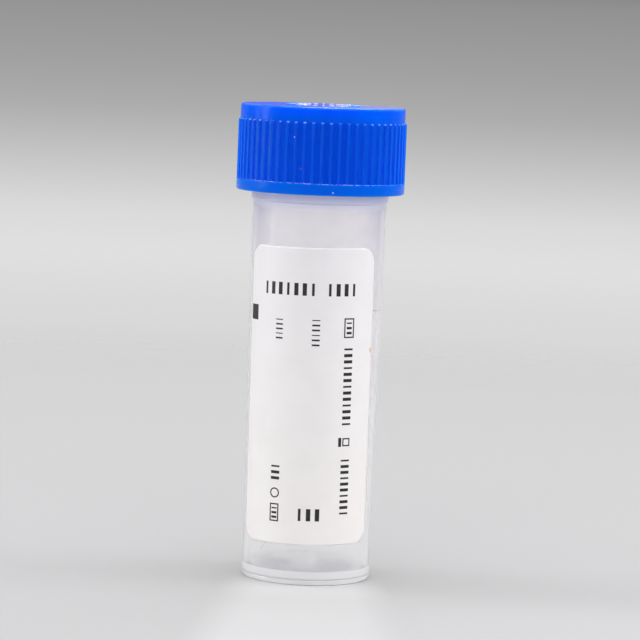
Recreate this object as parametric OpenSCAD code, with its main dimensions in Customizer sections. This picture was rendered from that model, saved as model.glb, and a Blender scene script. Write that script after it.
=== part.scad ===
// Flat-based 5 ml sample tube with a ribbed screw cap, a sealing washer and a paper label.
// Millimetres, +Z up, origin at the middle of the foot. The cap is modelled screwed shut.

/* [Tube] */
// Height from the foot to the mouth
tube_h = 55.9; // [55.6:0.1:58]
// Outer radius at the foot
foot_r = 7.84; // [7.5:0.02:8]
// Outer radius just under the collar
shoulder_r = 8.22; // [8.16:0.02:8.26]
// Thickness of the side wall
wall = 0.8; // [0.7:0.02:0.9]
// Height of the underside of the collar
collar_z = 46.3; // [46:0.1:46.6]
// Outer radius of the collar that stands below the cap
collar_r = 8.4; // [8.34:0.02:8.5]
// Height of the collar
collar_h = 2.2; // [1.6:0.1:2.4]
// Outer radius of the neck between the turns of its thread
neck_r = 8.15; // [8.08:0.01:8.2]

/* [Base] */
// Height of the inner floor where it meets the corner fillet
floor_z = 1.4; // [1.2:0.02:1.8]
// Depth of the dish in the inner floor
floor_dish = 0.1; // [0.05:0.05:0.2]
// Radius of the fillet between the inner floor and the wall
floor_fillet = 0.25; // [0.2:0.05:0.8]
// Radius of the round boss in the middle of the inner floor
boss_r = 1.55; // [1:0.05:2]
// Height of that boss
boss_h = 0.35; // [0.2:0.05:0.6]
// Radius of the recess in the underside
recess_r = 6.2; // [5.5:0.1:6.4]
// Depth of the recess in the underside
recess_h = 0.5; // [0.3:0.05:0.7]
// Radius of the rounded outer edge of the foot
foot_round = 0.3; // [0.2:0.05:0.4]
// Height of the fine groove round the foot
groove_z = 0.62; // [0.58:0.02:1]
// Depth of that groove
groove_d = 0.07; // [0.04:0.01:0.1]

/* [Fill Line] */
// Height of the moulded fill line
fill_z = 33.55; // [20:0.05:40]
// Where the fill line starts, in degrees to the right of the label's middle
fill_from = 64; // [60:1:80]
// Angle that the fill line covers
fill_sweep = 13; // [6:1:60]

/* [Thread] */
// Rise of the thread in one turn
pitch = 3; // [2.9:0.05:3.1]
// Turns of thread on the neck
neck_turns = 1.6; // [1.2:0.1:1.6]
// Turns of thread in the cap
cap_turns = 1.6; // [1.2:0.1:1.6]
// Height of a thread ridge above its wall
ridge_h = 0.6; // [0.5:0.02:0.62]
// Radial clearance between each ridge and the wall that it faces
thread_gap = 0.2; // [0.15:0.01:0.25]

/* [Cap] */
// Height of the cap
cap_h = 10.5; // [10.3:0.1:10.6]
// Radius over the ribs
cap_r = 10.285; // [10.2:0.005:10.6]
// Number of ribs around the skirt
rib_count = 60; // [36:1:72]
// Height of a rib above the skirt
rib_h = 0.225; // [0.1:0.005:0.3]
// Width of a rib at its foot
rib_foot_w = 0.42; // [0.3:0.01:0.5]
// Width of a rib at its crest
rib_crest_w = 0.26; // [0.1:0.01:0.28]
// Height of the plain ring at the cap's mouth
ring_h = 1.4; // [0.8:0.1:2]
// Height of the plain band at the cap's top
band_h = 1.75; // [1.2:0.05:3]
// Thickness of the cap's top
top_t = 1.2; // [1.1:0.05:1.4]
// Number of short raised ticks in the ring on the cap's top
tick_count = 24; // [12:1:30]

/* [Washer] */
// Thickness of the sealing washer
washer_t = 0.88; // [0.8:0.02:1]

/* [Label] */
// Height of the label's lower edge
label_z = 5.04; // [4:0.1:8]
// Height of the label
label_h = 36.07; // [30:0.5:38]
// Width of the label before it is wrapped around the tube
label_w = 17.9; // [14:0.1:19]
// How far the label leans anticlockwise, in degrees
label_lean = 0.5; // [-1:0.1:1]
// Angle from the front to the label's middle, to the right
label_turn = -5; // [-20:1:20]
// Radius of the label's corners
label_corner = 2; // [1:0.1:3]
// Thickness of the label
label_t = 0.09; // [0.08:0.01:0.15]

/* [Hidden] */
$fn = 120;
front = 270;

// Tube
draft = (shoulder_r - foot_r) / collar_z;
rim_r = 0.3;
collar_chamfer = 0.2;
recess_draft = 0.1;
groove_w = 0.28;
nub_r = 0.6;
nub_h = 0.3;
fill_w = 0.26;
fill_proud = 0.1;
embed = 0.15;

// Thread: a ridge with sloping flanks, wider at its foot than at its crest
ridge_foot_w = 1.3;
ridge_crest_w = 0.6;
flank_gap = 0.15;
ridge_shift = (ridge_foot_w + ridge_crest_w) / 2 + flank_gap;
steps_per_turn = 36;
fade_steps = 3;
thread_start = 1.2;
neck_thread_z = collar_z + collar_h + collar_chamfer + thread_start;
cap_thread_turn = 0.27;

// Cap
washer_gap = 0.02;
cap_z = tube_h + top_t + washer_t + washer_gap - cap_h;
cap_bore_r = neck_r + ridge_h + thread_gap;
skirt_r = cap_r - rib_h;
crest_inset = 0.01;
crest_r = cap_r - crest_inset;
band_r = skirt_r + crest_inset;
edge_round = 0.3;
rib_top_slope = 0.2;
mouth_chamfer = 0.25;
tick_from_r = 3.2;
tick_len = 1.4;
tick_w = 0.22;
tick_h = 0.12;
overlap = 0.05;

// Washer
washer_clear = 0.2;
washer_r = cap_bore_r - washer_clear;
washer_edge = 0.1;

// Label
label_mid_z = label_z + label_h / 2;
label_r = body_r(label_mid_z);
glue_gap = 0.01;
ink_t = 0.03;
ink_gap = 0.005;
line_w = 0.16;

// Outer and inner radius of the tube's body at a height
function body_r(z) = foot_r + draft * z;
function bore_r(z) = body_r(z) - wall;

// Points along an arc of a profile
function arc(centre, r, from, to, steps = 8) =
    [for (i = [0 : steps]) let (a = from + (to - from) * i / steps) centre + r * [cos(a), sin(a)]];

// ---------- Thread ----------

// How much of its height a ridge has at a step: it fades in and out at the ends
function ridge_share(i, last) = min(1, i / fade_steps, (last - i) / fade_steps);

// The four corners of a ridge at a step, as radius and height; grow is 1 outwards, -1 inwards
function ridge_corners(wall_r, grow, share) =
    let (top_r = wall_r + grow * (share * (ridge_h + overlap) - overlap))
    [[wall_r - grow * embed, -ridge_foot_w / 2], [top_r, -ridge_crest_w / 2],
     [top_r, ridge_crest_w / 2], [wall_r - grow * embed, ridge_foot_w / 2]];

// A helical ridge on a wall, from a height and a part of a turn upwards
module thread_ridge(wall_r, grow, start_z, start_turn, turns) {
    last = round(turns * steps_per_turn);
    points = [for (i = [0 : last]) for (c = ridge_corners(wall_r, grow, ridge_share(i, last)))
        let (turn = start_turn + i / steps_per_turn)
        [c[0] * cos(360 * turn), c[0] * sin(360 * turn), c[1] + start_z + pitch * turn]];
    sides = [for (i = [0 : last - 1]) for (k = [0 : 3])
        [4 * i + k, 4 * i + (k + 1) % 4, 4 * i + 4 + (k + 1) % 4, 4 * i + 4 + k]];
    ends = [[3, 2, 1, 0], [for (k = [0 : 3]) 4 * last + k]];
    faces = concat(sides, ends);
    polyhedron(points, grow > 0 ? faces : [for (f = faces) [for (k = [len(f) - 1 : -1 : 0]) f[k]]]);
}

// ---------- Tube ----------

function tube_outside() = concat(
    [[0, recess_h], [recess_r, recess_h], [recess_r + recess_draft, 0]],
    arc([body_r(0) - foot_round, foot_round], foot_round, -90, 0),
    [for (side = [-1 : 1])
        let (z = groove_z + side * groove_w / 2)
        [body_r(z) - (1 - abs(side)) * groove_d, z]],
    [[body_r(collar_z), collar_z], [collar_r, collar_z + collar_chamfer],
     [collar_r, collar_z + collar_h], [neck_r, collar_z + collar_h + collar_chamfer]],
    arc([neck_r - rim_r, tube_h - rim_r], rim_r, 0, 90));

function tube_inside() = concat(
    [[bore_r(tube_h), tube_h - overlap]],
    arc([bore_r(floor_z) - floor_fillet, floor_z + floor_fillet], floor_fillet, 0, -90),
    [[boss_r, floor_z - floor_dish], [boss_r, floor_z - floor_dish + boss_h],
     [0, floor_z - floor_dish + boss_h]]);

module gate_nub() {
    translate([0, 0, recess_h - nub_h])
        cylinder(h = nub_h + overlap, r = nub_r);
}

module fill_line() {
    in_r = body_r(fill_z) - embed;
    out_r = body_r(fill_z) + fill_proud;
    rotate([0, 0, front + label_turn + fill_from])
        rotate_extrude(angle = fill_sweep)
            polygon([[in_r, fill_z - fill_w / 2], [out_r, fill_z - fill_w / 4],
                     [out_r, fill_z + fill_w / 4], [in_r, fill_z + fill_w / 2]]);
}

module tube() {
    color([0.87, 0.88, 0.91, 0.5]) {
        rotate_extrude()
            polygon(concat(tube_outside(), tube_inside()));
        thread_ridge(neck_r, 1, neck_thread_z, 0, neck_turns);
        gate_nub();
        fill_line();
    }
}

// ---------- Cap ----------

// Outline of the ribbed skirt: four corners a rib, and the crests just inside the plain ring
module ribbed_outline() {
    pitch_a = 360 / rib_count;
    foot_a = rib_foot_w / 2 / skirt_r * 180 / PI;
    crest_a = rib_crest_w / 2 / crest_r * 180 / PI;
    corners = [[skirt_r, -foot_a], [crest_r, -crest_a], [crest_r, crest_a], [skirt_r, foot_a]];
    polygon([for (i = [0 : rib_count - 1]) for (c = corners)
        c[0] * [cos(i * pitch_a + c[1]), sin(i * pitch_a + c[1])]]);
}

// The ribs' top ends slope back into the plain band
module ribbed_skirt() {
    top = cap_h - band_h;
    intersection() {
        translate([0, 0, ring_h / 2])
            linear_extrude(height = top - ring_h / 2)
                ribbed_outline();
        rotate_extrude()
            polygon([[0, 0], [cap_r + overlap, 0], [cap_r + overlap, top - rib_top_slope - overlap],
                     [skirt_r - rib_h, top + rib_top_slope - overlap], [0, top + rib_top_slope]]);
    }
}

module plain_parts() {
    rotate_extrude()
        polygon(concat([[0, 0], [cap_r - edge_round / 2, 0], [cap_r, edge_round / 2], [cap_r, ring_h],
                        [band_r, ring_h]],
                       arc([band_r - edge_round, cap_h - edge_round], edge_round, 0, 90),
                       [[0, cap_h]]));
}

module cap_hollow() {
    depth = cap_h - top_t;
    rotate_extrude()
        polygon([[0, -overlap], [cap_bore_r + mouth_chamfer + overlap, -overlap],
                 [cap_bore_r, mouth_chamfer], [cap_bore_r, depth - mouth_chamfer],
                 [cap_bore_r - mouth_chamfer, depth], [0, depth]]);
}

module tick_ring() {
    for (i = [0 : tick_count - 1])
        rotate([0, 0, i * 360 / tick_count])
            translate([tick_from_r, -tick_w / 2, cap_h - overlap])
                cube([tick_len, tick_w, tick_h + overlap]);
}

module cap() {
    color([0.02, 0.3, 0.85]) {
        translate([0, 0, cap_z]) {
            difference() {
                union() {
                    plain_parts();
                    ribbed_skirt();
                }
                cap_hollow();
            }
            tick_ring();
        }
        thread_ridge(cap_bore_r, -1, neck_thread_z - ridge_shift, cap_thread_turn, cap_turns);
    }
}

// ---------- Washer ----------

// Pressed onto the rim of the tube by the top of the cap
module washer() {
    color([0.93, 0.93, 0.9])
        translate([0, 0, tube_h])
            rotate_extrude()
                polygon([[0, 0], [washer_r - washer_edge, 0], [washer_r, washer_edge],
                         [washer_r, washer_t - washer_edge], [washer_r - washer_edge, washer_t],
                         [0, washer_t]]);
}

// ---------- Label ----------

// A patch on the tube's tapered side: angles from the label's middle, to the right
module patch(from, to, low, high, clear, thick) {
    rotate([0, 0, front + label_turn + from])
        rotate_extrude(angle = to - from)
            polygon([[body_r(low) + clear, low], [body_r(low) + clear + thick, low],
                     [body_r(high) + clear + thick, high], [body_r(high) + clear, high]]);
}

// The label's flat outline, with a turn that keeps its width true on the tapered tube
module label_outline(turn) {
    rotate(turn) {
        square([label_w, label_h - 2 * label_corner], center = true);
        square([label_w - 2 * label_corner, label_h], center = true);
        for (x = [-1, 1]) for (y = [-1, 1])
            translate([x * (label_w / 2 - label_corner), y * (label_h / 2 - label_corner)])
                circle(r = label_corner);
    }
}

// Cuts away what lies outside the outline, seen square on at a third of the width:
// side is -1 for the left edge, 0 for the middle and 1 for the right edge
module outline_cut(side) {
    out = side * (label_w / 2 - label_corner);
    turn = label_lean + atan(draft * out / label_r);
    rotate([0, 0, front + label_turn + out / label_r * 180 / PI])
        translate([label_r / 2, 0, label_mid_z + out * sin(label_lean)])
            rotate([90, 0, 90])
                linear_extrude(height = label_r)
                    difference() {
                        square([label_w * 2 / 3, label_h + 3 * label_corner], center = true);
                        translate([-out, 0])
                            label_outline(turn);
                    }
}

module label() {
    half = (label_w / 2 + label_corner) / label_r * 180 / PI;
    color([0.96, 0.95, 0.93])
        difference() {
            patch(-half, half, label_z - label_corner, label_z + label_h + label_corner, glue_gap, label_t);
            for (side = [-1 : 1])
                outline_cut(side);
        }
}

// ---------- Print ----------

// A filled field of ink: its middle on the label, to the right and up, its width and its height
module ink(x, y, w, h, deeper = 0) {
    z = label_mid_z + y + x * sin(label_lean);
    middle = x - y * sin(label_lean);
    deg = 180 / PI / body_r(z);
    patch((middle - w / 2) * deg, (middle + w / 2) * deg, z - h / 2, z + h / 2,
          glue_gap + label_t + ink_gap - deeper, ink_t + 2 * deeper);
}

// An empty box of thin lines
module ink_box(x, y, w, h) {
    difference() {
        ink(x, y, w, h);
        ink(x, y, w - 2 * line_w, h - 2 * line_w, overlap);
    }
}

// The share of its step that a bar fills, by a simple rule
function bar_share(i) = 0.3 + 0.2 * ((i * i) % 3);

// A ladder of bars down the label
module ink_bars(x, top, w, count, step, weight = 1) {
    for (i = [0 : count - 1])
        ink(x, top - step * (i + 0.5), w, weight * step * bar_share(i));
}

// A row of upright bars across the label
module ink_row(left, y, h, count, step) {
    for (i = [0 : count - 1])
        ink(left + step * (i + 0.5), y, step * bar_share(i), h);
}

// A thin ring
module ink_ring(x, y, r) {
    z = label_mid_z + y + x * sin(label_lean);
    intersection() {
        ink(x, y, 3 * r, 3 * r);
        rotate([0, 0, front + label_turn + (x - y * sin(label_lean)) / body_r(z) * 180 / PI])
            translate([0, 0, z])
                rotate([90, 0, 90])
                    linear_extrude(height = 2 * label_r)
                        difference() {
                            circle(r = r, $fn = 40);
                            circle(r = r - line_w, $fn = 40);
                        }
    }
}

module label_print() {
    left = -3.65;
    right = 5.1;
    text_w = 1.15;
    text_h = 1.5;
    small_w = 0.7;
    light = 0.7;
    color([0.06, 0.06, 0.07]) {
        ink(-8.05, 9.8, 1.5, 1.86);
        ink_row(-6.2, 13, text_h, 7, 1.03);
        ink_row(2, 13, text_h, 4, 1.03);
        ink_bars(left, 9.5, 0.95, 5, 0.56, light);
        ink_bars(0.95, 9.6, 0.95, 6, 0.6, light);
        ink_box(right, 8.4, 1.35, 2.4);
        ink_bars(right, 9.3, small_w, 3, 0.6);
        ink_bars(right, 6.2, text_w, 13, 0.76);
        ink(4.3, -5.5, 0.4, 1.1);
        ink_box(5.15, -5.5, 1, 1);
        ink_bars(right, -7.4, text_w, 10, 0.72);
        ink_bars(left, -8.3, text_w, 3, 0.72);
        ink_ring(left, -11.9, 0.62);
        ink_box(left, -14.3, 1.2, 2.2);
        ink_bars(left, -13.5, small_w, 3, 0.55);
        ink_row(-0.95, -14.4, text_h, 3, 1.07);
    }
}

tube();
cap();
washer();
label();
label_print();
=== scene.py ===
"""Flat-based sample tube with a ribbed screw cap and a paper label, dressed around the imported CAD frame.

Lengths in the code are millimetres and put() turns them into metres, but for the stage, which is given
in metres.
"""

import math

import bpy
import numpy as np
from mathutils import Matrix, Vector


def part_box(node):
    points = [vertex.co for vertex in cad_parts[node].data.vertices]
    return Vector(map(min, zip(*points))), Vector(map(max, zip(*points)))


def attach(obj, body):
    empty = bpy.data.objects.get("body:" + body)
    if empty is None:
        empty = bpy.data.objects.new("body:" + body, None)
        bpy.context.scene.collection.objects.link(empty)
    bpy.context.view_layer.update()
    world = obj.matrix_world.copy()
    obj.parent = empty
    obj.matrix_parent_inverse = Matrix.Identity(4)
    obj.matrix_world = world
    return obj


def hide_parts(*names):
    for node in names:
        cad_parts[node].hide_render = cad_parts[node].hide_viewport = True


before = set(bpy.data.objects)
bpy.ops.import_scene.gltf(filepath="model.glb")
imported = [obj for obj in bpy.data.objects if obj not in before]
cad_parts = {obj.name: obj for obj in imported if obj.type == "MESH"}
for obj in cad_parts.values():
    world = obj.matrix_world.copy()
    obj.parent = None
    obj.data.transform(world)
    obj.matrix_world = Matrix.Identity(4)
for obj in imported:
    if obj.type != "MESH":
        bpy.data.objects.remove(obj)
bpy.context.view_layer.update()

MM = 0.001
TURN = 2 * math.pi


def corner(node, which):
    """The lowest (0) or highest (1) corner of a CAD node, in millimetres."""
    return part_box(node)[which] / MM


# ---------- Sizes, as in the CAD source ----------

TUBE_H = round(corner("tube", 1).z, 3)
FOOT_R = 7.84
SHOULDER_R = 8.22
COLLAR_Z = 46.3
COLLAR_R = 8.4
COLLAR_H = 2.2
COLLAR_CHAMFER = 0.2
NECK_R = 8.15
WALL = 0.8
FLOOR_Z = 1.4
FLOOR_DISH = 0.1
FLOOR_FILLET = 0.25
BOSS_R = 1.55
BOSS_H = 0.35
RECESS_R = 6.2
RECESS_H = 0.5
RECESS_DRAFT = 0.1
FOOT_ROUND = 0.3
GROOVE_Z = 0.62
GROOVE_D = 0.07
GROOVE_W = 0.28
NUB_R = 0.6
NUB_H = 0.3

RIDGE_H = 0.6
RIDGE_FOOT_W = 1.3
RIDGE_CREST_W = 0.6
PITCH = 3
NECK_THREAD_Z = COLLAR_Z + COLLAR_H + COLLAR_CHAMFER + 1.2
CAP_THREAD_Z = NECK_THREAD_Z - 1.1
CAP_THREAD_TURN = 0.27
THREAD_TURNS = 1.6
FADE_TURNS = 1 / 12

TICK_H = 0.12
CAP_Z = round(corner("cap", 0).z, 3)
CAP_TOP = round(corner("cap", 1).z, 3) - TICK_H
CAP_R = 10.285
CAP_BORE_R = 8.95
CAP_TOP_T = 1.2
RIB_COUNT = 60
RIB_H = 0.225
SKIRT_R = CAP_R - RIB_H
RING_H = 1.4
BAND_H = 1.75
LEDGE_Z = CAP_Z + RING_H
RIB_TOP_Z = CAP_TOP - BAND_H

# FRONT is the side that the picture shows, LABEL_TURN the label's turn from it, and FILL_FROM and
# FILL_SWEEP say where the fill line starts from the label's middle and how far it runs, all in degrees.
FRONT = 270

LABEL_W = 17.9
LABEL_H = 36.07
LABEL_CORNER = 2
LABEL_T = 0.09
LABEL_TURN = -5
LABEL_LEAN = math.radians(0.5)
GLUE_GAP = 0.01
LABEL_LOW = 5.04
LABEL_MID = LABEL_LOW + LABEL_H / 2

FILL_Z = 33.55
FILL_FROM = 64
FILL_SWEEP = 13
FILL_W = 0.26
FILL_PROUD = 0.1
FILL_FLANK = 0.08
FILL_FADE = 0.3


def body_r(z):
    """Outer radius of the tube's side at a height."""
    return FOOT_R + (SHOULDER_R - FOOT_R) * z / COLLAR_Z


# ---------- Mesh code ----------


def put(name, points, faces, material, body, slot, smooth=35):
    """Makes a piece from points in millimetres, smooth except at edges sharper than an angle."""
    mesh = bpy.data.meshes.new(name)
    mesh.from_pydata([tuple(c * MM for c in p) for p in points], [], faces)
    mesh.validate()
    mesh.shade_smooth()
    mesh.set_sharp_from_angle(angle=math.radians(smooth))
    mesh.materials.append(material)
    piece = bpy.data.objects.new(name, mesh)
    bpy.context.scene.collection.objects.link(piece)
    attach(piece, body)
    return piece


def round_corners(corners, steps=6):
    """Profile points from corners (radius, height, rounding): each rounded corner becomes an arc."""
    points = []
    for i, (r, z, rounding) in enumerate(corners):
        here = np.array((r, z), float)
        if not rounding:
            points.append(here)
            continue
        back = np.array(corners[i - 1][:2]) - here
        on = np.array(corners[i + 1][:2]) - here
        back, on = back / np.linalg.norm(back), on / np.linalg.norm(on)
        half = math.acos(max(-1, min(1, float(back @ on)))) / 2
        middle = (back + on) / np.linalg.norm(back + on)
        centre = here + middle * rounding / math.sin(half)
        first = here + back * rounding / math.tan(half) - centre
        last = here + on * rounding / math.tan(half) - centre
        swing = math.pi - 2 * half
        for k in range(steps + 1):
            t = k / steps
            a, b = math.sin((1 - t) * swing), math.sin(t * swing)
            points.append(centre + (a * first + b * last) / math.sin(swing))
    return points


def refine(points, low, high, step, beyond=0):
    """Adds rows to the stretches of a profile that lie between two heights and beyond a radius."""
    out = [points[0]]
    for a, b in zip(points, points[1:]):
        bottom, top = sorted((a[1], b[1]))
        if min(a[0], b[0]) > beyond and top > low and bottom < high:
            cuts = max(1, math.ceil((top - bottom) / step))
            for k in range(1, cuts):
                t = k / cuts
                p = a + (b - a) * t
                if low <= p[1] <= high:
                    out.append(p)
        out.append(b)
    return out


def span(j, points, count):
    """The points of a ring that lie along one of a count of equal stretches, both ends included."""
    return range(j * points // count, (j + 1) * points // count + 1)


def skin(rings):
    """Points and faces over a run of rings. A ring may have a whole number of times as many points as
    the next one, and a ring of one point closes an end."""
    points, faces, starts = [], [], []
    for ring in rings:
        starts.append(len(points))
        points.extend(ring)
    for i in range(len(rings) - 1):
        a, b = starts[i], starts[i + 1]
        na, nb = len(rings[i]), len(rings[i + 1])
        count = min(na, nb) if min(na, nb) > 1 else max(na, nb)
        for j in range(count):
            lower = [a] if na == 1 else [a + k % na for k in span(j, na, count)]
            upper = [b] if nb == 1 else [b + k % nb for k in span(j, nb, count)]
            faces.append(lower + upper[::-1])
    return points, faces


def ring(radii, angles, heights):
    """The points of one ring, from angles in radians and radii and heights that may be single values. A
    ring of no radius is one point on the axis."""
    if np.max(radii) < 1e-6:
        return [(0, 0, heights)]
    radii = np.broadcast_to(radii, angles.shape)
    heights = np.broadcast_to(heights, angles.shape)
    return list(zip(radii * np.cos(angles), radii * np.sin(angles), heights))


def even_angles(count):
    return np.arange(count) * TURN / count


def smooth_step(t):
    t = np.clip(t, 0, 1)
    return t * t * (3 - 2 * t)


def helix(angles, z, start_z, start_turn):
    """How much of its height a thread ridge has at a height, for each angle: 0 beside it, 1 on its crest.
    The ridge's middle line passes start_z at turn 0, and the ridge itself runs from start_turn on."""
    share = np.zeros_like(angles)
    flank = (RIDGE_FOOT_W - RIDGE_CREST_W) / 2
    for lap in range(math.ceil(start_turn + THREAD_TURNS)):
        turn = angles / TURN + lap
        to_end = np.minimum(turn - start_turn, start_turn + THREAD_TURNS - turn)
        away = np.abs(z - start_z - PITCH * turn)
        here = smooth_step((RIDGE_FOOT_W / 2 - away) / flank) * smooth_step(to_end / FADE_TURNS)
        share = np.maximum(share, here)
    return share


# ---------- Materials ----------


class Nodes:
    """The node tree of a material or world, with short calls for what those below share. A colour is
    three numbers or a socket, and a value is a number or a socket."""

    def __init__(self, owner, output="ShaderNodeOutputMaterial", coords="Object"):
        self.owner = owner
        owner.use_nodes = True
        self.tree = owner.node_tree
        self.tree.nodes.clear()
        self.output = self.add(output)
        self.coords = self.add("ShaderNodeTexCoord").outputs[coords]

    def add(self, kind, **settings):
        node = self.tree.nodes.new(kind)
        for key, value in settings.items():
            setattr(node, key, value)
        return node

    def link(self, a, b):
        self.tree.links.new(a, b)

    def fill(self, socket, value):
        """Links a socket, or sets it to a number or a colour."""
        if isinstance(value, tuple):
            socket.default_value = (*value, 1)
        elif isinstance(value, (int, float)):
            socket.default_value = value
        else:
            self.link(value, socket)

    def shader(self, **sockets):
        """A Principled shader, with each constant set on its own socket."""
        node = self.add("ShaderNodeBsdfPrincipled")
        for key, value in sockets.items():
            node.inputs[key.replace("_", " ")].default_value = value
        return node

    def finish(self, shader):
        self.link(shader.outputs[0], self.output.inputs["Surface"])
        return self.owner

    # Values

    def math(self, operation, first, second=0):
        node = self.add("ShaderNodeMath", operation=operation)
        self.fill(node.inputs[0], first)
        self.fill(node.inputs[1], second)
        return node.outputs[0]

    def product(self, first, *others):
        for other in others:
            first = self.math("MULTIPLY", first, other)
        return first

    def larger(self, first, second):
        return self.math("MAXIMUM", first, second)

    def away(self, value, place=0):
        """How far a value in metres is from a place in millimetres, either way."""
        return self.math("ABSOLUTE", self.math("SUBTRACT", value, place * MM))

    def spread(self, value, low, high, start=0.3, end=0.7):
        """Runs from low to high as a value goes from start to end, which suit a noise unless given."""
        node = self.add("ShaderNodeMapRange")
        node.inputs["From Min"].default_value = start
        node.inputs["From Max"].default_value = end
        node.inputs["To Min"].default_value = low
        node.inputs["To Max"].default_value = high
        self.link(value, node.inputs["Value"])
        return node.outputs["Result"]

    def rise(self, value, start, end):
        """Runs from 0 to 1 as a value in metres goes from start to end, given in millimetres."""
        return self.spread(value, 0, 1, start * MM, end * MM)

    def fall(self, value, start, end):
        """Runs from 1 to 0 as a value in metres goes from start to end, given in millimetres."""
        return self.spread(value, 1, 0, start * MM, end * MM)

    # Places

    def vector(self, operation, first, second=(0, 0, 0)):
        """A vector node that works on a socket and three numbers."""
        node = self.add("ShaderNodeVectorMath", operation=operation)
        self.link(first, node.inputs[0])
        node.inputs[1].default_value = second
        return node.outputs["Value" if operation in ("LENGTH", "DOT_PRODUCT") else "Vector"]

    def split(self, axis):
        """One of the X, Y and Z coordinates, in metres."""
        node = self.add("ShaderNodeSeparateXYZ")
        self.link(self.coords, node.inputs[0])
        return node.outputs[axis]

    def distance(self):
        """The distance from the Z axis, in metres."""
        return self.vector("LENGTH", self.vector("MULTIPLY", self.coords, (1, 1, 0)))

    def along(self, direction):
        """The place along a direction, in metres."""
        return self.vector("DOT_PRODUCT", self.coords, direction)

    def spot(self, place, size):
        """1 at a place in millimetres, falling to 0 at the surface of an ellipsoid round it."""
        off = self.vector("SUBTRACT", self.coords, [c * MM for c in place])
        reach = self.vector("LENGTH", self.vector("DIVIDE", off, [c * MM for c in size]))
        return self.spread(reach, 1, 0, 0.4, 1)

    def noise(self, size, detail=3, stretch=(1, 1, 1)):
        """Noise with cells of about a size in millimetres, drawn out along each axis by a stretch."""
        scale = self.add("ShaderNodeMapping")
        scale.inputs["Scale"].default_value = [1 / (size * MM * s) for s in stretch]
        self.link(self.coords, scale.inputs["Vector"])
        node = self.add("ShaderNodeTexNoise")
        node.inputs["Scale"].default_value = 1
        node.inputs["Detail"].default_value = detail
        self.link(scale.outputs["Vector"], node.inputs["Vector"])
        return node.outputs["Fac"]

    # Looks

    def blend(self, factor, first, second):
        """A mix of two colours."""
        node = self.add("ShaderNodeMix", data_type="RGBA")
        self.link(factor, node.inputs["Factor"])
        for name, colour in (("A", first), ("B", second)):
            self.fill([s for s in node.inputs if s.name == name and s.type == "RGBA"][0], colour)
        return [s for s in node.outputs if s.type == "RGBA"][0]

    def bump(self, height, depth, normal=None):
        """A bump of a depth in millimetres, on top of another if one is given."""
        node = self.add("ShaderNodeBump")
        node.inputs["Strength"].default_value = 1
        node.inputs["Distance"].default_value = depth * MM
        self.link(height, node.inputs["Height"])
        if normal:
            self.link(normal, node.inputs["Normal"])
        return node.outputs["Normal"]

    def facing(self):
        """0 where the surface faces the ray that meets it, up to 1 where it is seen edge on."""
        return self.add("ShaderNodeLayerWeight").outputs["Facing"]

    def shining_through(self):
        """1 for light that has come through something clear."""
        return self.add("ShaderNodeLightPath").outputs["Is Transmission Ray"]

    def background(self, colour):
        node = self.add("ShaderNodeBackground")
        self.fill(node.inputs["Color"], colour)
        return node.outputs[0]

    def mix(self, factor, first, second):
        """A mix of two shaders."""
        node = self.add("ShaderNodeMixShader")
        for socket, value in zip(node.inputs, (factor, first, second)):
            self.link(value, socket)
        return node


def new_material(name):
    return Nodes(bpy.data.materials.new(name))


class TubeZones:
    """How much a point of the tube belongs to each of its zones, from 0 to 1."""

    def __init__(self, n):
        self.height, depth, radius = n.split("Z"), n.split("Y"), n.distance()
        low = n.fall(self.height, FLOOR_Z + 0.15, FLOOR_Z + 0.3)

        # The outer skin: its radius lies between the bore's widest and the bottom of the foot's groove.
        self.skin = n.rise(radius, 7.6, 7.7)
        # The band below the cap's mouth, where a painted blue glow from the cap tints the plastic and the
        # skin is milkier.
        self.cap_glow_band = n.product(n.rise(self.height, COLLAR_Z - 0.9, COLLAR_Z + 0.1),
                                  n.fall(self.height, CAP_Z + 0.3, CAP_Z + 0.7))
        self.boss = n.product(n.fall(radius, BOSS_R + 0.1, BOSS_R + 0.2),
                              n.rise(self.height, FLOOR_Z - 0.2, FLOOR_Z - 0.1))
        # The inner floor and the underside.
        self.inside = n.product(n.fall(radius, 7.2, 7.4), low)
        # The foot's solid rim, which reaches less high at the back.
        behind = n.spread(depth, 0, 0.4 * MM, -1 * MM, 3 * MM)
        self.rim = n.fall(n.math("ADD", self.height, behind), 1.65, 1.8)
        # Painted shade on the front of the floor, but not on the boss or on a spot in front of it, which is
        # left lighter as the boss's painted reflection.
        floor = n.product(n.fall(radius, 5.4, 6.6), n.fall(self.height, 1.7, 2.1))
        mirrored = n.product(n.spot((-0.1, -2, FLOOR_Z), (2, 1.5, 3)), floor)
        self.floor_painted_shade = n.product(n.math("SUBTRACT", floor, n.larger(self.boss, mirrored)),
                                    n.fall(depth, 0.5, 5.5))
        # A slanting hair scratch, low on the front.
        off = n.away(n.along((-0.606, 0.539, 0.585)), 2.579)
        self.scratch = n.product(n.fall(off, 0.03, 0.07), n.fall(depth, -5.2, -5),
                                 n.rise(self.height, 3.3, 3.6))


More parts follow.
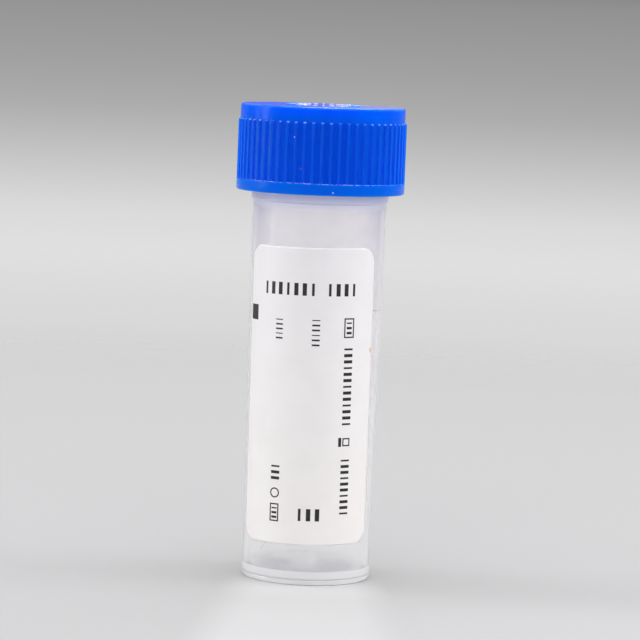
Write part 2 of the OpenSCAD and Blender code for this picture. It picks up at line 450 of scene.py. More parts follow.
def tube_tint(n, zones):
    """The colour of the tube's plastic: cloudy white, pinker higher up and with a painted blue glow from the
    cap near it, with painted shade on the front half of the floor and a grey rim, with painted shade in its
    groove and painted light, white, where it meets the ground."""
    cloud = n.spread(n.noise(5, 2), 0, 1)
    tint = n.blend(cloud, (0.985, 0.98, 0.985), (1.0, 0.995, 1.0))
    tint = n.blend(n.rise(zones.height, 12, 38), tint, (0.972, 0.948, 0.975))
    # Painted blue glow from the cap, on the plastic near the cap.
    tint = n.blend(zones.cap_glow_band, tint, (0.85, 0.855, 1.0))
    # Painted shade on the front half of the floor.
    tint = n.blend(zones.floor_painted_shade, tint, (0.54, 0.54, 0.6))
    from_groove = n.away(zones.height, GROOVE_Z)
    # Painted shade: the rim is darker in its groove.
    rim = n.blend(n.rise(from_groove, 0.12, 0.3), (0.69, 0.685, 0.71), (0.84, 0.825, 0.845))
    # Painted light: the rim is white at its bottom, where it meets the ground.
    rim = n.blend(n.fall(zones.height, 0.05, 0.25), rim, (1.0, 1.0, 1.0))
    tint = n.blend(n.product(zones.rim, zones.skin), tint, rim)
    return n.blend(zones.scratch, tint, (0.75, 0.74, 0.78))


def tube_milk(n, zones):
    """How milky the tube's plastic is: its outer skin, most of all in the rim, near the cap and where the
    wall is seen edge on, and the inner floor, the boss and the underside. The bore is clear."""
    milk = n.math("ADD", n.spread(n.noise(2.5), 0.36, 0.4), n.product(zones.cap_glow_band, 0.35))
    milk = n.larger(milk, n.product(zones.rim, 0.9))
    milk = n.larger(milk, n.spread(n.facing(), 0.35, 0.52, 0.55, 0.68))
    return n.larger(n.product(milk, zones.skin), n.product(n.larger(zones.inside, zones.boss), 0.9))


def frosted_plastic():
    """Natural polypropylene: clear walls with a milky skin and a fine moulded grain. The foot is clearer
    than the rest, and the floor is dull, so that it mirrors nothing."""
    n = new_material("frosted_plastic")
    shader = n.shader(IOR=1.35)
    zones = TubeZones(n)
    n.link(tube_tint(n, zones), shader.inputs["Base Color"])
    n.link(n.math("SUBTRACT", 1, tube_milk(n, zones)), shader.inputs["Transmission Weight"])
    clearer = n.spread(zones.height, 0.13, 0, 3 * MM, 8 * MM)
    frost = n.math("SUBTRACT", n.spread(n.noise(2), 0.14, 0.18), clearer)
    n.link(n.larger(frost, n.product(zones.inside, 0.6)), shader.inputs["Roughness"])
    dull = n.product(n.larger(zones.inside, zones.boss), 0.5)
    n.link(n.math("SUBTRACT", 0.5, dull), shader.inputs["Specular IOR Level"])
    peel = n.bump(n.noise(0.9, 2), 0.003)
    n.link(n.bump(n.noise(0.12, 2), 0.0008, peel), shader.inputs["Normal"])
    return n.finish(shader)


def skirt_blue(n, height, radius, sideways):
    """Blue of the cap's side. The ribs are painted darker than the plain band above them and the plain ring
    below them, as painted shade between the ribs and painted light on the band from above; the sides' ribs
    have painted shade on their crests and painted light between them; and the cap's lower lip is light."""
    flow = n.spread(n.noise(3, 2, (1, 1, 4)), 0, 1)
    # Painted light and shade: the band is painted lighter, for light it takes in from above, and the ribs
    # darker, for shade between them.
    band = n.blend(flow, (0.0002, 0.102, 0.83), (0.0004, 0.12, 0.93))
    ribs = n.blend(flow, (0.0002, 0.078, 0.76), (0.0004, 0.09, 0.83))
    # Painted shade on the side ribs' crests and painted light between them, to even out the shading of the
    # ribs there.
    crest = n.rise(radius, SKIRT_R + 0.02, SKIRT_R + 0.16)
    side_ribs_painted_light_and_shade = n.blend(crest, (0.0004, 0.112, 0.81), (0.0002, 0.052, 0.62))
    ribs = n.blend(n.rise(sideways, 3, 8), ribs, side_ribs_painted_light_and_shade)
    blue = n.blend(n.rise(height, RIB_TOP_Z - 0.2, RIB_TOP_Z + 0.1), ribs, band)
    blue = n.blend(n.fall(height, LEDGE_Z - 0.1, LEDGE_Z + 0.2), blue, (0.0003, 0.13, 0.82))
    return n.blend(n.fall(height, CAP_Z + 0.05, CAP_Z + 0.25), blue, (0.001, 0.17, 0.98))


def top_blue(n, blue, height, radius):
    """Adds the cap's flat top, with a greyish painted reflection on its right where it is seen edge on."""
    top = n.product(n.rise(height, CAP_TOP - 0.15, CAP_TOP), n.fall(radius, SKIRT_R - 0.4, SKIRT_R - 0.1))
    # Painted reflection: greyish where the top is seen edge on, more to the right.
    top_painted_reflection = n.product(n.spread(n.facing(), 0, 0.6, 0.85, 0.95), n.rise(n.split("X"), -1, 6))
    return n.blend(top, blue, n.blend(top_painted_reflection, (0.0003, 0.05, 0.78), (0.3, 0.34, 0.62)))


def painted_edge_highlights(n, blue, height, radius, sideways):
    """Adds painted highlights: the pale tops of the ribs, a faint pale edge along the ribs, the broken pale
    line on the ledge's edge and the pale ticks.
    """
    edge = n.product(n.rise(radius, SKIRT_R + 0.03, SKIRT_R + 0.08),
                     n.fall(radius, CAP_R - 0.03, CAP_R - 0.01))
    # Painted highlight on the ribs' rounded tops, with a faint one all along the ribs' edges.
    tops = n.product(n.rise(height, RIB_TOP_Z - 0.22, RIB_TOP_Z - 0.14),
                     n.spread(n.noise(0.8, 2), 0.1, 1, 0.4, 0.65))
    blue = n.blend(n.product(edge, n.larger(tops, 0.02)), blue, (0.2, 0.3, 0.95))
    # Painted highlight: a broken pale line on the ledge's edge between the ribs, towards the front.
    line = n.product(n.rise(height, LEDGE_Z - 0.2, LEDGE_Z - 0.1),
                     n.fall(height, LEDGE_Z + 0.02, LEDGE_Z + 0.08),
                     n.spread(n.noise(0.7, 2), 0, 0.8, 0.42, 0.6), n.fall(sideways, 7, 9))
    blue = n.blend(n.product(edge, line), blue, (0.5, 0.55, 0.98))
    # Painted highlight on the raised ticks' crests.
    ticks = n.product(n.rise(height, CAP_TOP + 0.02, CAP_TOP + 0.08),
                      n.spread(sideways, 1, 0.15, 2.6 * MM, 3.2 * MM))
    return n.blend(ticks, blue, (0.6, 0.65, 0.96))


def specks(n, blue):
    """Adds two white specks and a red one."""
    white, red = (0.8, 0.8, 0.95), (0.35, 0.03, 0.35)
    for place, size, colour in (((-3.28, -9.55, 54.38), (0.09, 0.4, 0.09), white),
                                ((1.55, -10.17, 47.92), (0.11, 0.4, 0.11), white),
                                ((-2.4, -9.81, 50.64), (0.11, 0.5, 0.11), red)):
        blue = n.blend(n.spot(place, size), blue, colour)
    return blue


def blue_plastic():
    """Coloured polyethylene, which lets light in a little, with flow streaks, painted highlights on its
    edges and ticks, and orange peel.
    """
    n = new_material("blue_plastic")
    shader = n.shader(IOR=1.5, Specular_IOR_Level=0.06, Subsurface_Weight=1.0, Subsurface_Scale=0.004)
    shader.inputs["Subsurface Radius"].default_value = (0.08, 0.3, 1.0)
    height, radius, sideways = n.split("Z"), n.distance(), n.away(n.split("X"))
    blue = skirt_blue(n, height, radius, sideways)
    blue = top_blue(n, blue, height, radius)
    blue = painted_edge_highlights(n, blue, height, radius, sideways)
    n.link(specks(n, blue), shader.inputs["Base Color"])
    n.link(n.spread(n.noise(0.8), 0.18, 0.24), shader.inputs["Roughness"])
    peel = n.bump(n.noise(0.5, 2), 0.008)
    n.link(n.bump(n.noise(0.09, 2), 0.002, peel), shader.inputs["Normal"])
    return n.finish(shader)


def label_paper():
    """Coated paper with soft fibres and a faint cloudiness: almost white, painted a little greyer towards
    the top and lighter low down as painted light and shade, with a painted highlight along the top edge and
    a small brown stain by the right edge."""
    n = new_material("label_paper")
    shader = n.shader(IOR=1.45)
    cloud, height = n.spread(n.noise(4, 4), 0, 1), n.split("Z")
    # Painted light and shade: lighter low down, greyer towards the top.
    low = n.blend(cloud, (0.875, 0.84, 0.83), (0.905, 0.875, 0.87))
    high = n.blend(cloud, (0.835, 0.81, 0.83), (0.865, 0.845, 0.87))
    paper = n.blend(n.rise(height, 10, 36), low, high)
    # Painted highlight along the paper's top edge, which leans with the label.
    top = LABEL_MID + LABEL_H / 2
    level = n.math("SUBTRACT", height, n.product(n.split("X"), 0.0105))
    paper = n.blend(n.rise(level, top - 0.2, top - 0.12), paper, (0.97, 0.955, 0.97))
    paper = n.blend(n.spot((6.85, -4.5, 28.7), (0.3, 0.3, 0.45)), paper, (0.7, 0.5, 0.38))
    n.link(paper, shader.inputs["Base Color"])
    fibre = n.noise(0.16, 3, (1, 1, 3))
    n.link(n.spread(fibre, 0.5, 0.62), shader.inputs["Roughness"])
    n.link(n.bump(fibre, 0.006), shader.inputs["Normal"])
    return n.finish(shader)


def label_ink():
    """Thermal print: near black, a little grey where it is thin."""
    n = new_material("label_ink")
    shader = n.shader(IOR=1.45)
    wear = n.spread(n.noise(0.12), 0, 1, 0.35, 0.75)
    n.link(n.blend(wear, (0.008, 0.008, 0.01), (0.03, 0.03, 0.033)), shader.inputs["Base Color"])
    n.link(n.spread(n.noise(0.2, 2), 0.4, 0.55), shader.inputs["Roughness"])
    n.link(n.bump(n.noise(0.1, 2), 0.003), shader.inputs["Normal"])
    return n.finish(shader)


def washer_rubber():
    """Milky silicone rubber with a satin skin."""
    n = new_material("washer_rubber")
    shader = n.shader(IOR=1.41, Subsurface_Weight=0.4, Subsurface_Scale=0.001)
    tone = n.spread(n.noise(1.5), 0, 1)
    n.link(n.blend(tone, (0.70, 0.70, 0.67), (0.76, 0.76, 0.73)), shader.inputs["Base Color"])
    n.link(n.spread(n.noise(0.4), 0.42, 0.55), shader.inputs["Roughness"])
    n.link(n.bump(n.noise(0.15, 2), 0.004), shader.inputs["Normal"])
    return n.finish(shader)


# ---------- Tube ----------

TUBE_COLUMNS = 240


def tube_profile():
    """The tube's section, from the middle of its underside round the outside to the inner floor, with
    extra rows where the thread and the fill line are raised and up the side."""
    bore_top = body_r(TUBE_H) - WALL
    bore_low = body_r(FLOOR_Z) - WALL
    corners = [  # radius, height, rounding
        (0, RECESS_H - NUB_H, 0),
        (NUB_R, RECESS_H - NUB_H, 0.12),
        (NUB_R, RECESS_H, 0.08),
        (RECESS_R, RECESS_H, 0.15),
        (RECESS_R + RECESS_DRAFT, 0, 0.2),
        (FOOT_R, 0, FOOT_ROUND),
        (FOOT_R, GROOVE_Z - GROOVE_W / 2, 0.04),
        (FOOT_R - GROOVE_D, GROOVE_Z, 0.05),
        (FOOT_R, GROOVE_Z + GROOVE_W / 2, 0.04),
        (SHOULDER_R, COLLAR_Z, 0.06),
        (COLLAR_R, COLLAR_Z + COLLAR_CHAMFER, 0.1),
        (COLLAR_R, COLLAR_Z + COLLAR_H, 0.08),
        (NECK_R, COLLAR_Z + COLLAR_H + COLLAR_CHAMFER, 0.1),
        (NECK_R, TUBE_H, 0.3),
        (bore_top, TUBE_H, 0.12),
        (bore_low, FLOOR_Z, FLOOR_FILLET),
        (BOSS_R, FLOOR_Z - FLOOR_DISH, 0.12),
        (BOSS_R, FLOOR_Z - FLOOR_DISH + BOSS_H, 0.14),
        (0, FLOOR_Z - FLOOR_DISH + BOSS_H, 0),
    ]
    points = round_corners(corners)
    points = refine(points, NECK_THREAD_Z - 0.8, TUBE_H - 0.3, 0.1, NECK_R - 0.05)
    points = refine(points, FILL_Z - 0.2, FILL_Z + 0.2, 0.04, body_r(0))
    return refine(points, FOOT_ROUND, COLLAR_Z, 2, body_r(0) - 0.01)


def tube_proud(angles, r, z):
    """What stands proud of the tube's side: the thread on the neck and the moulded fill line."""
    if r > NECK_R - 0.01 and z > NECK_THREAD_Z - 1:
        return RIDGE_H * helix(angles, z, NECK_THREAD_Z, 0)
    if r > FOOT_R and abs(z - FILL_Z) < 0.2:
        start = math.radians((FRONT + LABEL_TURN + FILL_FROM) % 360)
        past = (angles - start) % TURN
        end = math.radians(FILL_SWEEP)
        along = np.minimum(past, end - past) * body_r(FILL_Z)
        crest = smooth_step((FILL_W / 2 - abs(z - FILL_Z)) / FILL_FLANK)
        return FILL_PROUD * smooth_step(along / FILL_FADE) * crest
    return np.zeros_like(angles)


def make_tube(material):
    angles = even_angles(TUBE_COLUMNS)
    rings = [ring(r + tube_proud(angles, r, z), angles, z) for r, z in tube_profile()]
    piece = put("tube_body", *skin(rings), material, "tube", "tube_plastic")
    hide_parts("tube")


# ---------- Cap ----------

# From cap_bore() to cap_top(), heights count from the cap's mouth, and make_cap() lifts them.

MOUTH_CHAMFER = 0.25
RING_ROUND = 0.18
LEDGE_ROUND = 0.1
LEDGE_FILLET = 0.07
RIB_END_H = 0.3
BAND_ROUND = 0.32
CEILING_ROUND = 0.35

RIB_STEPS = (0.06, 0.11, 0.16, 0.21, 0.27)
RIB_HALF = RIB_STEPS[-1]
RIB_FLANK = 0.24
TOP_RADII = (8.4, 7, 5.5, 3.5, 1.5, 0)


def rib_columns():
    """The angles of the cap's columns of points: one on each rib's middle, one on each side of it at every
    step, and one midway to the next rib."""
    pitch = TURN / RIB_COUNT
    steps = [s / SKIRT_R for s in RIB_STEPS]
    offsets = [0, *steps, pitch / 2, *(pitch - s for s in reversed(steps))]
    return np.array([i * pitch + o for i in range(RIB_COUNT) for o in offsets])


def rib_share(angles):
    """How much of its height a rib has at each angle, with rounded shoulders."""
    pitch = TURN / RIB_COUNT
    off = np.abs((angles + pitch / 2) % pitch - pitch / 2) * SKIRT_R
    return smooth_step((RIB_HALF - off) / RIB_FLANK)


def cap_bore(angles, height):
    """Rings from the ceiling's middle down the threaded bore to the chamfer at the mouth."""
    ceiling = height - CAP_TOP_T
    profile = round_corners([
        (0, ceiling, 0),
        (CAP_BORE_R, ceiling, CEILING_ROUND),
        (CAP_BORE_R, MOUTH_CHAMFER, 0.05),
        (CAP_BORE_R + MOUTH_CHAMFER, 0, 0),
    ])
    rings = [ring(0, angles, ceiling)]
    for r, z in refine(profile, 1, ceiling - 0.5, 0.12)[1:-1]:
        on_wall = r > CAP_BORE_R - 0.02
        ridge = RIDGE_H * helix(angles, z + CAP_Z, CAP_THREAD_Z, CAP_THREAD_TURN) if on_wall else 0
        rings.append(ring(r - ridge, angles, z))
    return rings + [ring(CAP_BORE_R + MOUTH_CHAMFER, angles, 0)]


def cap_mouth(angles, skirt):
    """Rings up the plain ring at the mouth and in over its ledge, as far as the skirt lets them."""
    profile = round_corners([
        (CAP_R - 1, 0, 0),
        (CAP_R, 0, RING_ROUND),
        (CAP_R, RING_H, LEDGE_ROUND),
        (CAP_R - 1, RING_H, 0),
    ])
    rings = []
    for r, z in profile[1:-1]:
        near_ledge = z >= RING_H - 0.12
        radii = np.maximum(r, np.minimum(skirt, CAP_R - 0.01)) if near_ledge else r
        rings.append(ring(radii, angles, z))
    return rings


def cap_ribs(angles, ribs, skirt, top):
    """Rings up the skirt: a fillet between the ribs on the ledge, the straight run, and the ribs' sloping
    ends."""
    rings = []
    for a in np.linspace(0, math.pi / 2, 4):
        out = LEDGE_FILLET * (1 - math.sin(a)) * (1 - ribs)
        rings.append(ring(skirt + out, angles, RING_H + LEDGE_FILLET * (1 - math.cos(a))))
    for z in np.linspace(RING_H + 0.5, top - 0.45, 6):
        rings.append(ring(skirt, angles, z))
    for a in np.linspace(0, math.pi / 2, 7):
        rings.append(ring(SKIRT_R + RIB_H * ribs * math.cos(a), angles, top - RIB_END_H * (1 - math.sin(a))))
    return rings


def cap_top(angles, inner, rib_top, height):
    """Rings up the plain band, over its rounded edge and in to the top's middle."""
    band = round_corners([(SKIRT_R, rib_top, 0), (SKIRT_R, height, BAND_ROUND), (0, height, 0)], 8)
    rings = [ring(r, angles, z) for r, z in band[1:-1]]
    return rings + [ring(r, inner, height) for r in TOP_RADII]


def make_cap(material):
    """One closed skin. Its rings are worked out from the cap's mouth up and then lifted to their place,
    and those of the bore and the flat top have a third of the columns."""
    angles = rib_columns()
    inner = angles[::3]
    ribs = rib_share(angles)
    skirt = SKIRT_R + RIB_H * ribs
    height, rib_top = CAP_TOP - CAP_Z, RIB_TOP_Z - CAP_Z
    rings = cap_bore(inner, height) + cap_mouth(angles, skirt)
    rings += cap_ribs(angles, ribs, skirt, rib_top) + cap_top(angles, inner, rib_top, height)
    rings = [[(x, y, z + CAP_Z) for x, y, z in loop] for loop in rings]
    piece = put("cap_body", *skin(rings), material, "cap", "cap_plastic")
    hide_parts("cap")


TICK_COUNT = 24
TICK_FROM_R = 3.2
TICK_L = 1.4
TICK_W = 0.22
TICK_LAYERS = (  # how far in from the ends, how far in from the sides, height above the top
    (0, 0, -0.03), (0, 0, 0.6 * TICK_H), (0.03, 0.027, 0.9 * TICK_H), (0.06, 0.054, TICK_H),
)


def make_ticks(material):
    """A ring of short raised ticks on the cap's top, each with a softened crest."""
    points, faces = [], []
    for i in range(TICK_COUNT):
        a = TURN * i / TICK_COUNT
        out, side = np.array((math.cos(a), math.sin(a))), np.array((-math.sin(a), math.cos(a)))
        first = len(points)
        for from_ends, from_sides, z in TICK_LAYERS:
            low, high = TICK_FROM_R + from_ends, TICK_FROM_R + TICK_L - from_ends
            half = TICK_W / 2 - from_sides
            for r, w in ((low, -half), (high, -half), (high, half), (low, half)):
                p = out * r + side * w
                points.append((p[0], p[1], CAP_TOP + z))
        last = first + 4 * (len(TICK_LAYERS) - 1)
        for a0 in range(first, last, 4):
            b0 = a0 + 4
            faces += [[a0 + k, a0 + (k + 1) % 4, b0 + (k + 1) % 4, b0 + k] for k in range(4)]
        faces.append([first + k for k in (3, 2, 1, 0)])
        faces.append([last + k for k in range(4)])
    put("cap_ticks", points, faces, material, "cap", "cap_plastic", 50)


# ---------- Washer ----------

WASHER_COLUMNS = 160
WASHER_ROUND = 0.15


def make_washer(material):
    low, high = corner("washer", 0), corner("washer", 1)
    radius = (high.x - low.x) / 2
    corners = [(0, low.z, 0), (radius, low.z, WASHER_ROUND), (radius, high.z, WASHER_ROUND), (0, high.z, 0)]
    angles = even_angles(WASHER_COLUMNS)
    rings = [ring(r, angles, z) for r, z in round_corners(corners)]
    piece = put("washer_disc", *skin(rings), material, "washer", "washer_rubber")
    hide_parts("washer")


# ---------- Label and print ----------

PAPER_TOP = GLUE_GAP + LABEL_T
INK_T = 0.008
INK_SOFT = 0.005
INK_SUNK = 0.02
LINE_W = 0.16


def on_label(x, y, lift):
    """A point x to the right of and y above the label's middle, lifted off the tube's side."""
    z = LABEL_MID + y * math.cos(LABEL_LEAN) + x * math.sin(LABEL_LEAN)
    across = x * math.cos(LABEL_LEAN) - y * math.sin(LABEL_LEAN)
    a = math.radians(FRONT + LABEL_TURN) + across / body_r(z)
    r = body_r(z) + lift
    return (r * math.cos(a), r * math.sin(a), z)


def sheet(front, back, edge):
    """Closed skin over a front grid and a back grid, joined round their rims through an edge loop."""
    rows, cols = len(front), len(front[0])
    points = [p for row in front for p in row] + [p for row in back for p in row] + edge
    deep = rows * cols
    faces = []
    for j in range(rows - 1):
        for i in range(cols - 1):
            a = j * cols + i
            quad = [a, a + 1, a + cols + 1, a + cols]
            faces.append(quad)
            faces.append([deep + k for k in reversed(quad)])
    rim = list(range(cols))
    rim += [j * cols + cols - 1 for j in range(1, rows)]
    rim += [(rows - 1) * cols + i for i in range(cols - 2, -1, -1)]
    rim += [j * cols for j in range(rows - 2, 0, -1)]
    count = len(rim)
    for k in range(count):
        m = (k + 1) % count
        faces.append([rim[k], 2 * deep + k, 2 * deep + m, rim[m]])
        faces.append([2 * deep + k, deep + rim[k], deep + rim[m], 2 * deep + m])
    return points, faces


def label_grid(half_w, half_h, corner_r, lift, cols=44, rows=24, arc_steps=9):
    """Rows of points over the label's outline with its rounded corners."""
    straight_w, straight_h = half_w - corner_r, half_h - corner_r
    shape = []
    for k in range(arc_steps + 1):
        a = math.pi / 2 * (1 - k / arc_steps)
        shape.append((-straight_h - corner_r * math.sin(a), straight_w + corner_r * math.cos(a)))
    for k in range(1, rows):
        shape.append((-straight_h + 2 * straight_h * k / rows, half_w))
    shape += [(-y, w) for y, w in shape[arc_steps::-1]]
    return [[on_label(w * (2 * i / cols - 1), y, lift) for i in range(cols + 1)] for y, w in shape]


def outline_of(grid):
    """The points round a grid's rim, in the order in which sheet() joins them."""
    rows = len(grid)
    loop = list(grid[0]) + [grid[j][-1] for j in range(1, rows)]
    loop += list(grid[-1][-2::-1]) + [grid[j][0] for j in range(rows - 2, 0, -1)]
    return loop


def make_label(material):
    half_w, half_h = LABEL_W / 2, LABEL_H / 2
    soft = 0.03
    front = label_grid(half_w - soft, half_h - soft, LABEL_CORNER - soft, PAPER_TOP)
    back = label_grid(half_w, half_h, LABEL_CORNER, GLUE_GAP)
    edge = outline_of(label_grid(half_w, half_h, LABEL_CORNER, PAPER_TOP - soft))
    piece = put("label_sheet", *sheet(front, back, edge), material, "tube", "label_paper", 30)
    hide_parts("label")


def print_field(x, y, w, h):
    """A filled field of print, wrapped on the label, with its back just inside the paper."""
    cols, rows = max(1, math.ceil(w / 0.3)), max(1, math.ceil(h / 0.6))

    def grid(lift, grow):
        return [[on_label(x + (w + grow) * (i / cols - 0.5), y + (h + grow) * (j / rows - 0.5), lift)
                 for i in range(cols + 1)] for j in range(rows + 1)]

    return sheet(grid(PAPER_TOP + INK_T, -2 * INK_SOFT), grid(PAPER_TOP - INK_SUNK, 0),
                 outline_of(grid(PAPER_TOP + INK_T / 2, 0)))


def print_box(x, y, w, h):
    """The four sides of an open box."""
    half = LINE_W / 2
    return [(x, y + h / 2 - half, w, LINE_W), (x, y - h / 2 + half, w, LINE_W),
            (x - w / 2 + half, y, LINE_W, h - 2 * LINE_W), (x + w / 2 - half, y, LINE_W, h - 2 * LINE_W)]


def bar_share(i):
    """The share of its step that a bar fills, by the rule in the CAD source."""
    return 0.3 + 0.2 * ((i * i) % 3)


def print_bars(x, top, w, count, step, weight=1):
    """A ladder of bars down the label."""
    return [(x, top - step * (i + 0.5), w, weight * step * bar_share(i)) for i in range(count)]


def print_row(left, y, h, count, step):
    """A row of upright bars across the label."""
    return [(left + step * (i + 0.5), y, step * bar_share(i), h) for i in range(count)]


def print_ring(x, y, r, count=40):
    """A thin ring of print, as points and faces."""
    inner, soft = r - LINE_W, 2 * INK_SOFT
    low, middle, high = PAPER_TOP - INK_SUNK, PAPER_TOP + INK_T / 2, PAPER_TOP + INK_T
    section = ((r, low), (r, middle), (r - soft, high), (inner + soft, high), (inner, middle), (inner, low))
    loops = [[on_label(x + reach * math.cos(a), y + reach * math.sin(a), lift) for a in even_angles(count)]
             for reach, lift in section]
    points, faces = skin(loops + [loops[0]])
    last = count * len(section)
    return points[:last], [[k % last for k in face] for face in faces]


def make_print(material):
    """Plain fields where the print stands, placed from the label's middle."""
    left, right = -3.65, 5.1
    text_w, text_h, small_w = 1.15, 1.5, 0.7
    light = 0.7
    blocks = [(-8.05, 9.8, 1.5, 1.86), (4.3, -5.5, 0.4, 1.1)]
    heading = print_row(-6.2, 13, text_h, 7, 1.03) + print_row(2, 13, text_h, 4, 1.03)
    under_heading = print_bars(left, 9.5, 0.95, 5, 0.56, light) + print_bars(0.95, 9.6, 0.95, 6, 0.6, light)
    right_column = print_box(right, 8.4, 1.35, 2.4) + print_bars(right, 9.3, small_w, 3, 0.6)
    right_column += print_bars(right, 6.2, text_w, 13, 0.76)
    right_column += print_box(5.15, -5.5, 1, 1)
    right_column += print_bars(right, -7.4, text_w, 10, 0.72)
    left_column = print_bars(left, -8.3, text_w, 3, 0.72)
    left_column += print_box(left, -14.3, 1.2, 2.2) + print_bars(left, -13.5, small_w, 3, 0.55)
    foot_row = print_row(-0.95, -14.4, text_h, 3, 1.07)
    fields = blocks + heading + under_heading + right_column + left_column + foot_row
    points, faces = [], []
    for some, skins in [print_field(*field) for field in fields] + [print_ring(left, -11.9, 0.62)]:
        faces += [[len(points) + k for k in face] for face in skins]
        points += some
    piece = put("label_marks", points, faces, material, "tube", "label_ink", 30)
    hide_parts("label_print")


# ---------- Stage ----------

# The stage is given in metres, apart from the places in the floor's material.

SKY = (  # sine of the elevation, brightness
    (-1.0, 0.66), (-0.14, 0.66), (-0.115, 0.675), (-0.09, 0.70), (-0.075, 0.745), (-0.062, 0.70),
    (-0.051, 0.60), (-0.040, 0.50), (-0.030, 0.415), (-0.018, 0.36), (-0.008, 0.327), (0.005, 0.285),
    (0.02, 0.14), (0.1, 0.13), (0.25, 0.45), (0.38, 1.0), (1.0, 1.1),
)
SKY_SPAN = (-0.2, 0.4)
SKY_TOP = 1.2

STUDIO_WHITE = (0.94, 0.94, 0.94)
FLAG_BLUE = (0.04, 0.04, 0.45)
FLOOR_TONE = (0.41, 0.41, 0.415)
# The painted light on the floor, under the foot and where it shows through the tube.
FLOOR_PAINTED_WHITE = (0.75, 0.75, 0.76)
FLOOR_SOLID = 0.19
FLOOR_END = 0.34
GROUND_Z = -2e-5


def sky_tone(n):
    """The brightness in the sky table for the direction's elevation, through one curve."""
    low, high = SKY_SPAN
    keys = {0.0: SKY[0][1], 1.0: SKY[-1][1]}
    for sine, brightness in SKY:
        if low < sine < high:
            keys[(sine - low) / (high - low)] = brightness
    curve = n.add("ShaderNodeFloatCurve")
    points = curve.mapping.curves[0].points
    while len(points) < len(keys):
        points.new(0.5, 0.5)
    for point, (place, brightness) in zip(points, sorted(keys.items())):
        point.location = (place, brightness / SKY_TOP)
        point.handle_type = "VECTOR"
    curve.mapping.update()
    n.link(n.spread(n.split("Z"), 0, 1, low, high), curve.inputs["Value"])
    return n.product(curve.outputs[0], SKY_TOP)


def make_world():
    """A grey sweep for the camera and the lamps' fill. What shows through the tube is the white of the
    studio, with a darker flag on each side of the backdrop that draws the tube's walls."""
    world = bpy.data.worlds.new("studio")
    bpy.context.scene.world = world
    n = Nodes(world, "ShaderNodeOutputWorld", "Generated")
    sideways, upward = n.away(n.split("X")), n.away(n.split("Z"))
    flag = n.product(n.spread(sideways, 0, 1, 0.06, 0.34), n.spread(sideways, 1, 0, 0.64, 0.8),
                     n.spread(upward, 1, 0, 0.3, 0.5))
    studio = n.blend(flag, STUDIO_WHITE, FLAG_BLUE)
    n.finish(n.mix(n.shining_through(), n.background(sky_tone(n)), n.background(studio)))


def scaled(factor, colour):
    return tuple(factor * c for c in colour)


def floor_colour(n):
    """Grey with a faint grain, and painted light: a painted pool of the light that the tube passes on in
    front of the foot, a little at the right, painted white under the foot and round its front, and paler
    where it shows through the tube."""
    across, along, away = n.split("X"), n.split("Y"), n.distance()
    grey = n.blend(n.spread(n.noise(1.5), 0, 1), FLOOR_TONE, scaled(0.99, FLOOR_TONE))
    # Painted pool of the light that the tube passes on, in front of the foot and strongest near it.
    narrowing = n.math("ADD", n.away(across), n.product(along, 0.1))
    painted_caustic_pool = n.product(n.fall(narrowing, 4.5, 9.5), n.fall(along, -7, 0))
    grey = n.blend(painted_caustic_pool, grey, scaled(1.155, FLOOR_TONE))
    grey = n.blend(n.product(painted_caustic_pool, n.fall(away, 9, 18)), grey, scaled(1.3, FLOOR_TONE))
    # Painted light, a little at the right, in front of the tube.
    right = n.product(n.rise(across, 6, 14), n.fall(along, -24, -10))
    grey = n.blend(right, grey, scaled(1.05, FLOOR_TONE))
    # Painted light, white, under the foot and round its front, against its contact shadow.
    front_rim_painted_light = n.product(n.fall(along, -6, -3), n.fall(away, 7.8, 8.05))
    under = n.larger(front_rim_painted_light, n.fall(away, 7.5, 7.8))
    # Painted light: the floor is also paler where it shows through the tube.
    return n.blend(n.larger(under, n.product(n.shining_through(), 0.3)), grey, FLOOR_PAINTED_WHITE)


def make_floor():
    """A round floor that fades out into the world's own tone."""
    n = new_material("floor")
    diffuse = n.add("ShaderNodeBsdfDiffuse")
    n.link(floor_colour(n), diffuse.inputs["Color"])
    clear = n.add("ShaderNodeBsdfTransparent")
    fade = n.spread(n.distance(), 0, 1, FLOOR_SOLID, FLOOR_END)
    fade.node.interpolation_type = "SMOOTHSTEP"
    mesh = bpy.data.meshes.new("floor")
    radii = (0, 0.03, 0.1, FLOOR_SOLID, FLOOR_END + 0.01)
    points, faces = skin([ring(r, even_angles(96), GROUND_Z) for r in radii])
    mesh.from_pydata(points, [], [f[::-1] for f in faces])
    mesh.materials.append(n.finish(n.mix(fade, diffuse.outputs[0], clear.outputs[0])))
    floor = bpy.data.objects.new("floor", mesh)
    bpy.context.scene.collection.objects.link(floor)


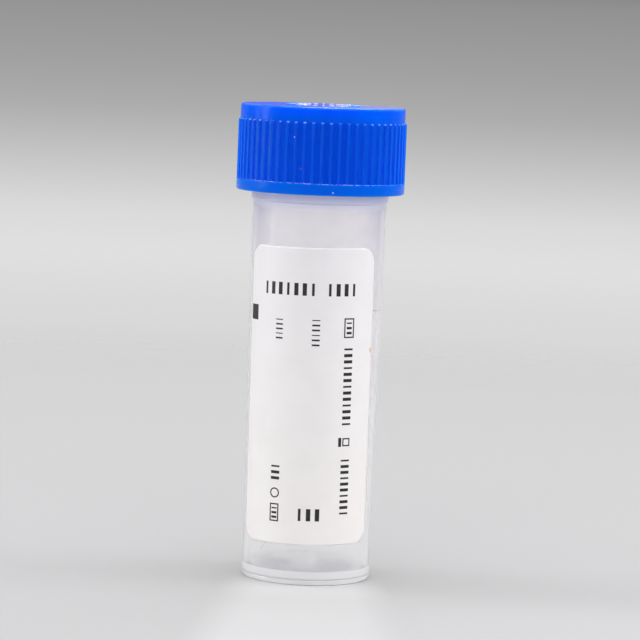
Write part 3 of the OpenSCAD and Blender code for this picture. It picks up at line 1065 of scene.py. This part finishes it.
def soft_light(name, place, size, brightness, mirrored=True, lights=True):
    """A rectangular lamp aimed at the tube's middle, given by the brightness of its face. It may light
    surfaces without being mirrored in them, or be mirrored only, as a card that draws a highlight."""
    lamp = bpy.data.lights.new(name, "AREA")
    lamp.shape = "RECTANGLE"
    lamp.size, lamp.size_y = size
    lamp.energy = brightness * math.pi * size[0] * size[1]
    thing = bpy.data.objects.new(name, lamp)
    thing.location = place
    middle = Vector((0, 0, 0.03))
    thing.rotation_euler = (Vector(place) - middle).to_track_quat("Z", "Y").to_euler()
    thing.visible_glossy = mirrored
    thing.visible_diffuse = thing.visible_transmission = lights
    bpy.context.scene.collection.objects.link(thing)


def make_lights():
    soft_light("left_box", (-0.6, 0.07, 0.3), (0.3, 0.55), 2.4)
    soft_light("right_box", (0.6, 0.05, 0.3), (0.35, 0.55), 2.6, mirrored=False)
    soft_light("overhead", (0, 0.05, 0.7), (0.6, 0.6), 1.9)
    soft_light("front_fill", (0, -0.9, 0.55), (1.0, 0.5), 1.25)
    soft_light("back_card", (0.02, 0.4, 0.4), (0.12, 0.06), 110, lights=False)
    soft_light("left_card", (-0.6, -0.04, 0.15), (0.06, 0.3), 13, lights=False)


CAMERA_PLACE = (0.0006004, -0.3962719, 0.0691362)
CAMERA_LENS = 182.3
CAMERA_DOWN = math.radians(5.397)
CAMERA_ROLL = 0.0396


def make_camera():
    """The picture's viewpoint: a long lens a little above the tube's shoulder, tipped down and rolled."""
    data = bpy.data.cameras.new("camera")
    data.sensor_width = 36
    data.lens = CAMERA_LENS
    camera = bpy.data.objects.new("camera", data)
    turn = Matrix.Rotation(TURN / 4 - CAMERA_DOWN, 4, "X") @ Matrix.Rotation(CAMERA_ROLL, 4, "Z")
    camera.matrix_world = Matrix.Translation(CAMERA_PLACE) @ turn
    bpy.context.scene.collection.objects.link(camera)
    bpy.context.scene.camera = camera


make_camera()
make_world()
make_lights()
make_floor()

plastic = frosted_plastic()
blue = blue_plastic()
make_tube(plastic)
make_cap(blue)
make_ticks(blue)
make_washer(washer_rubber())
make_label(label_paper())
make_print(label_ink())

bpy.context.scene.view_settings.view_transform = "Standard"
